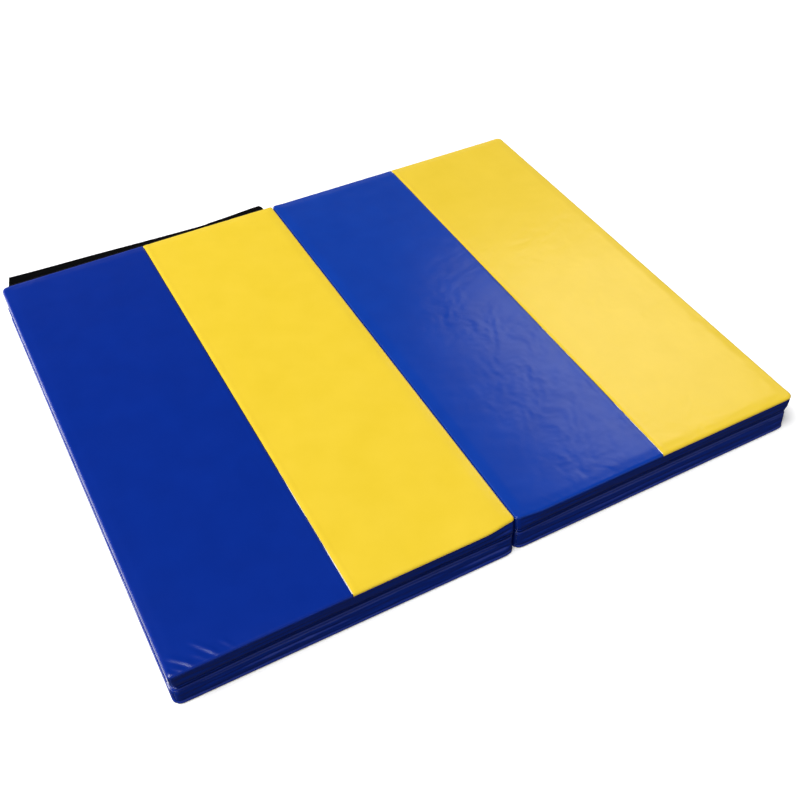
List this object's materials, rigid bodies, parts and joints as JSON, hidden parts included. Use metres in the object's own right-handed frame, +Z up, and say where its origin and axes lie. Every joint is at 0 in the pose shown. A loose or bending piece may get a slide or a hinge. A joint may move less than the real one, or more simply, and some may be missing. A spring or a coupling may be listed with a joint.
{
  "type": "folding gym mat",
  "caption": "Accordion-fold gym mat in a blue and yellow sewn cover, half folded into two side-by-side stacks, with a hook-tape flap along one back edge.",
  "frame": {"origin": "bottom centre of the bounding box of the half-folded mat, on the floor", "axes": "+X across the stripes, from the stack with the hook flap to the other; +Y along the stripes, towards the zippers and the hook flap; +Z up"},
  "size_m": [1.4612, 1.2618, 0.0965],
  "materials": {
    "blue_vinyl": "satin coated fabric with a fine pebble grain",
    "yellow_vinyl": "satin coated fabric with a fine pebble grain",
    "foam": "closed-cell foam",
    "hook_tape": "black woven hook tape",
    "loop_tape": "black brushed loop tape",
    "zipper_tape": "navy woven zipper tape with a nylon coil",
    "zipper_metal": "nickel plated"
  },
  "bodies": {
    "hook_flap": {"hook_flap": "hook_tape"},
    "panel_1": {"panel_1_face_blue": "blue_vinyl", "panel_1_face_yellow": "yellow_vinyl", "panel_1_back_sheet": "blue_vinyl", "panel_1_wall_back": "blue_vinyl", "panel_1_wall_front": "blue_vinyl", "panel_1_wall_left": "blue_vinyl", "panel_1_wall_right": "blue_vinyl", "panel_1_foam_core": "foam", "panel_1_zipper": "zipper_tape", "hinge_strip_left": "blue_vinyl"},
    "panel_1_pull": {"panel_1_zipper_pull": "zipper_metal"},
    "panel_1_slider": {"panel_1_zipper_slider": "zipper_metal"},
    "panel_2": {"panel_2_face_blue": "blue_vinyl", "panel_2_face_yellow": "yellow_vinyl", "panel_2_back_sheet": "blue_vinyl", "panel_2_wall_back": "blue_vinyl", "panel_2_wall_front": "blue_vinyl", "panel_2_wall_left": "blue_vinyl", "panel_2_wall_right": "blue_vinyl", "panel_2_foam_core": "foam", "panel_2_zipper": "zipper_tape", "hinge_strip_centre": "blue_vinyl", "hook_flap_sewn_edge": "hook_tape"},
    "panel_2_pull": {"panel_2_zipper_pull": "zipper_metal"},
    "panel_2_slider": {"panel_2_zipper_slider": "zipper_metal"},
    "panel_3": {"panel_3_face_blue": "blue_vinyl", "panel_3_face_yellow": "yellow_vinyl", "panel_3_back_sheet": "blue_vinyl", "panel_3_wall_back": "blue_vinyl", "panel_3_wall_front": "blue_vinyl", "panel_3_wall_left": "blue_vinyl", "panel_3_wall_right": "blue_vinyl", "panel_3_foam_core": "foam", "panel_3_zipper": "zipper_tape", "hinge_strip_right": "blue_vinyl", "loop_tape": "loop_tape"},
    "panel_3_pull": {"panel_3_zipper_pull": "zipper_metal"},
    "panel_3_slider": {"panel_3_zipper_slider": "zipper_metal"},
    "panel_4": {"panel_4_face_blue": "blue_vinyl", "panel_4_face_yellow": "yellow_vinyl", "panel_4_back_sheet": "blue_vinyl", "panel_4_wall_back": "blue_vinyl", "panel_4_wall_front": "blue_vinyl", "panel_4_wall_left": "blue_vinyl", "panel_4_wall_right": "blue_vinyl", "panel_4_foam_core": "foam", "panel_4_zipper": "zipper_tape"},
    "panel_4_pull": {"panel_4_zipper_pull": "zipper_metal"},
    "panel_4_slider": {"panel_4_zipper_slider": "zipper_metal"}
  },
  "joints": [
    {"name": "fold_1_2", "type": "hinge", "parent": "panel_1", "child": "panel_2", "pos_m": [-0.73, -0.02088, 0.04825], "axis": [0, -1, 0], "range_deg": [0, 179.9], "deforming": ["hinge_strip_left"]},
    {"name": "fold_2_3", "type": "hinge", "parent": "panel_2", "child": "panel_3", "pos_m": [0, -0.02088, 0.09725], "axis": [0, 1, 0], "range_deg": [-179.9, 0], "deforming": ["hinge_strip_centre"]},
    {"name": "fold_3_4", "type": "hinge", "parent": "panel_3", "child": "panel_4", "pos_m": [0.73, -0.02088, 0.04825], "axis": [0, -1, 0], "range_deg": [0, 179.9], "deforming": ["hinge_strip_right"]},
    {"name": "flap_fold", "type": "hinge", "parent": "panel_2", "child": "hook_flap", "pos_m": [-0.365, 0.59152, 0.0905], "axis": [1, 0, 0], "range_deg": [-63, 102], "stiffness_Nm_per_rad": 0.08, "springref_deg": 6.3},
    {"name": "zip_1_slide", "type": "slide", "parent": "panel_1", "child": "panel_1_slider", "axis": [1, 0, 0], "range_m": [0, 0.61]},
    {"name": "zip_1_pull", "type": "hinge", "parent": "panel_1_slider", "child": "panel_1_pull", "pos_m": [-0.67, 0.59312, 0.037], "axis": [0, 0, 1], "range_deg": [0, 170]},
    {"name": "zip_2_slide", "type": "slide", "parent": "panel_2", "child": "panel_2_slider", "axis": [-1, 0, 0], "range_m": [0, 0.61]},
    {"name": "zip_2_pull", "type": "hinge", "parent": "panel_2_slider", "child": "panel_2_pull", "pos_m": [-0.06, 0.59312, 0.0595], "axis": [0, 0, -1], "range_deg": [0, 170]},
    {"name": "zip_3_slide", "type": "slide", "parent": "panel_3", "child": "panel_3_slider", "axis": [-1, 0, 0], "range_m": [0, 0.61]},
    {"name": "zip_3_pull", "type": "hinge", "parent": "panel_3_slider", "child": "panel_3_pull", "pos_m": [0.67, 0.59312, 0.0595], "axis": [0, 0, -1], "range_deg": [0, 170]},
    {"name": "zip_4_slide", "type": "slide", "parent": "panel_4", "child": "panel_4_slider", "axis": [1, 0, 0], "range_m": [0, 0.61]},
    {"name": "zip_4_pull", "type": "hinge", "parent": "panel_4_slider", "child": "panel_4_pull", "pos_m": [0.06, 0.59312, 0.037], "axis": [0, 0, 1], "range_deg": [0, 170]}
  ]
}
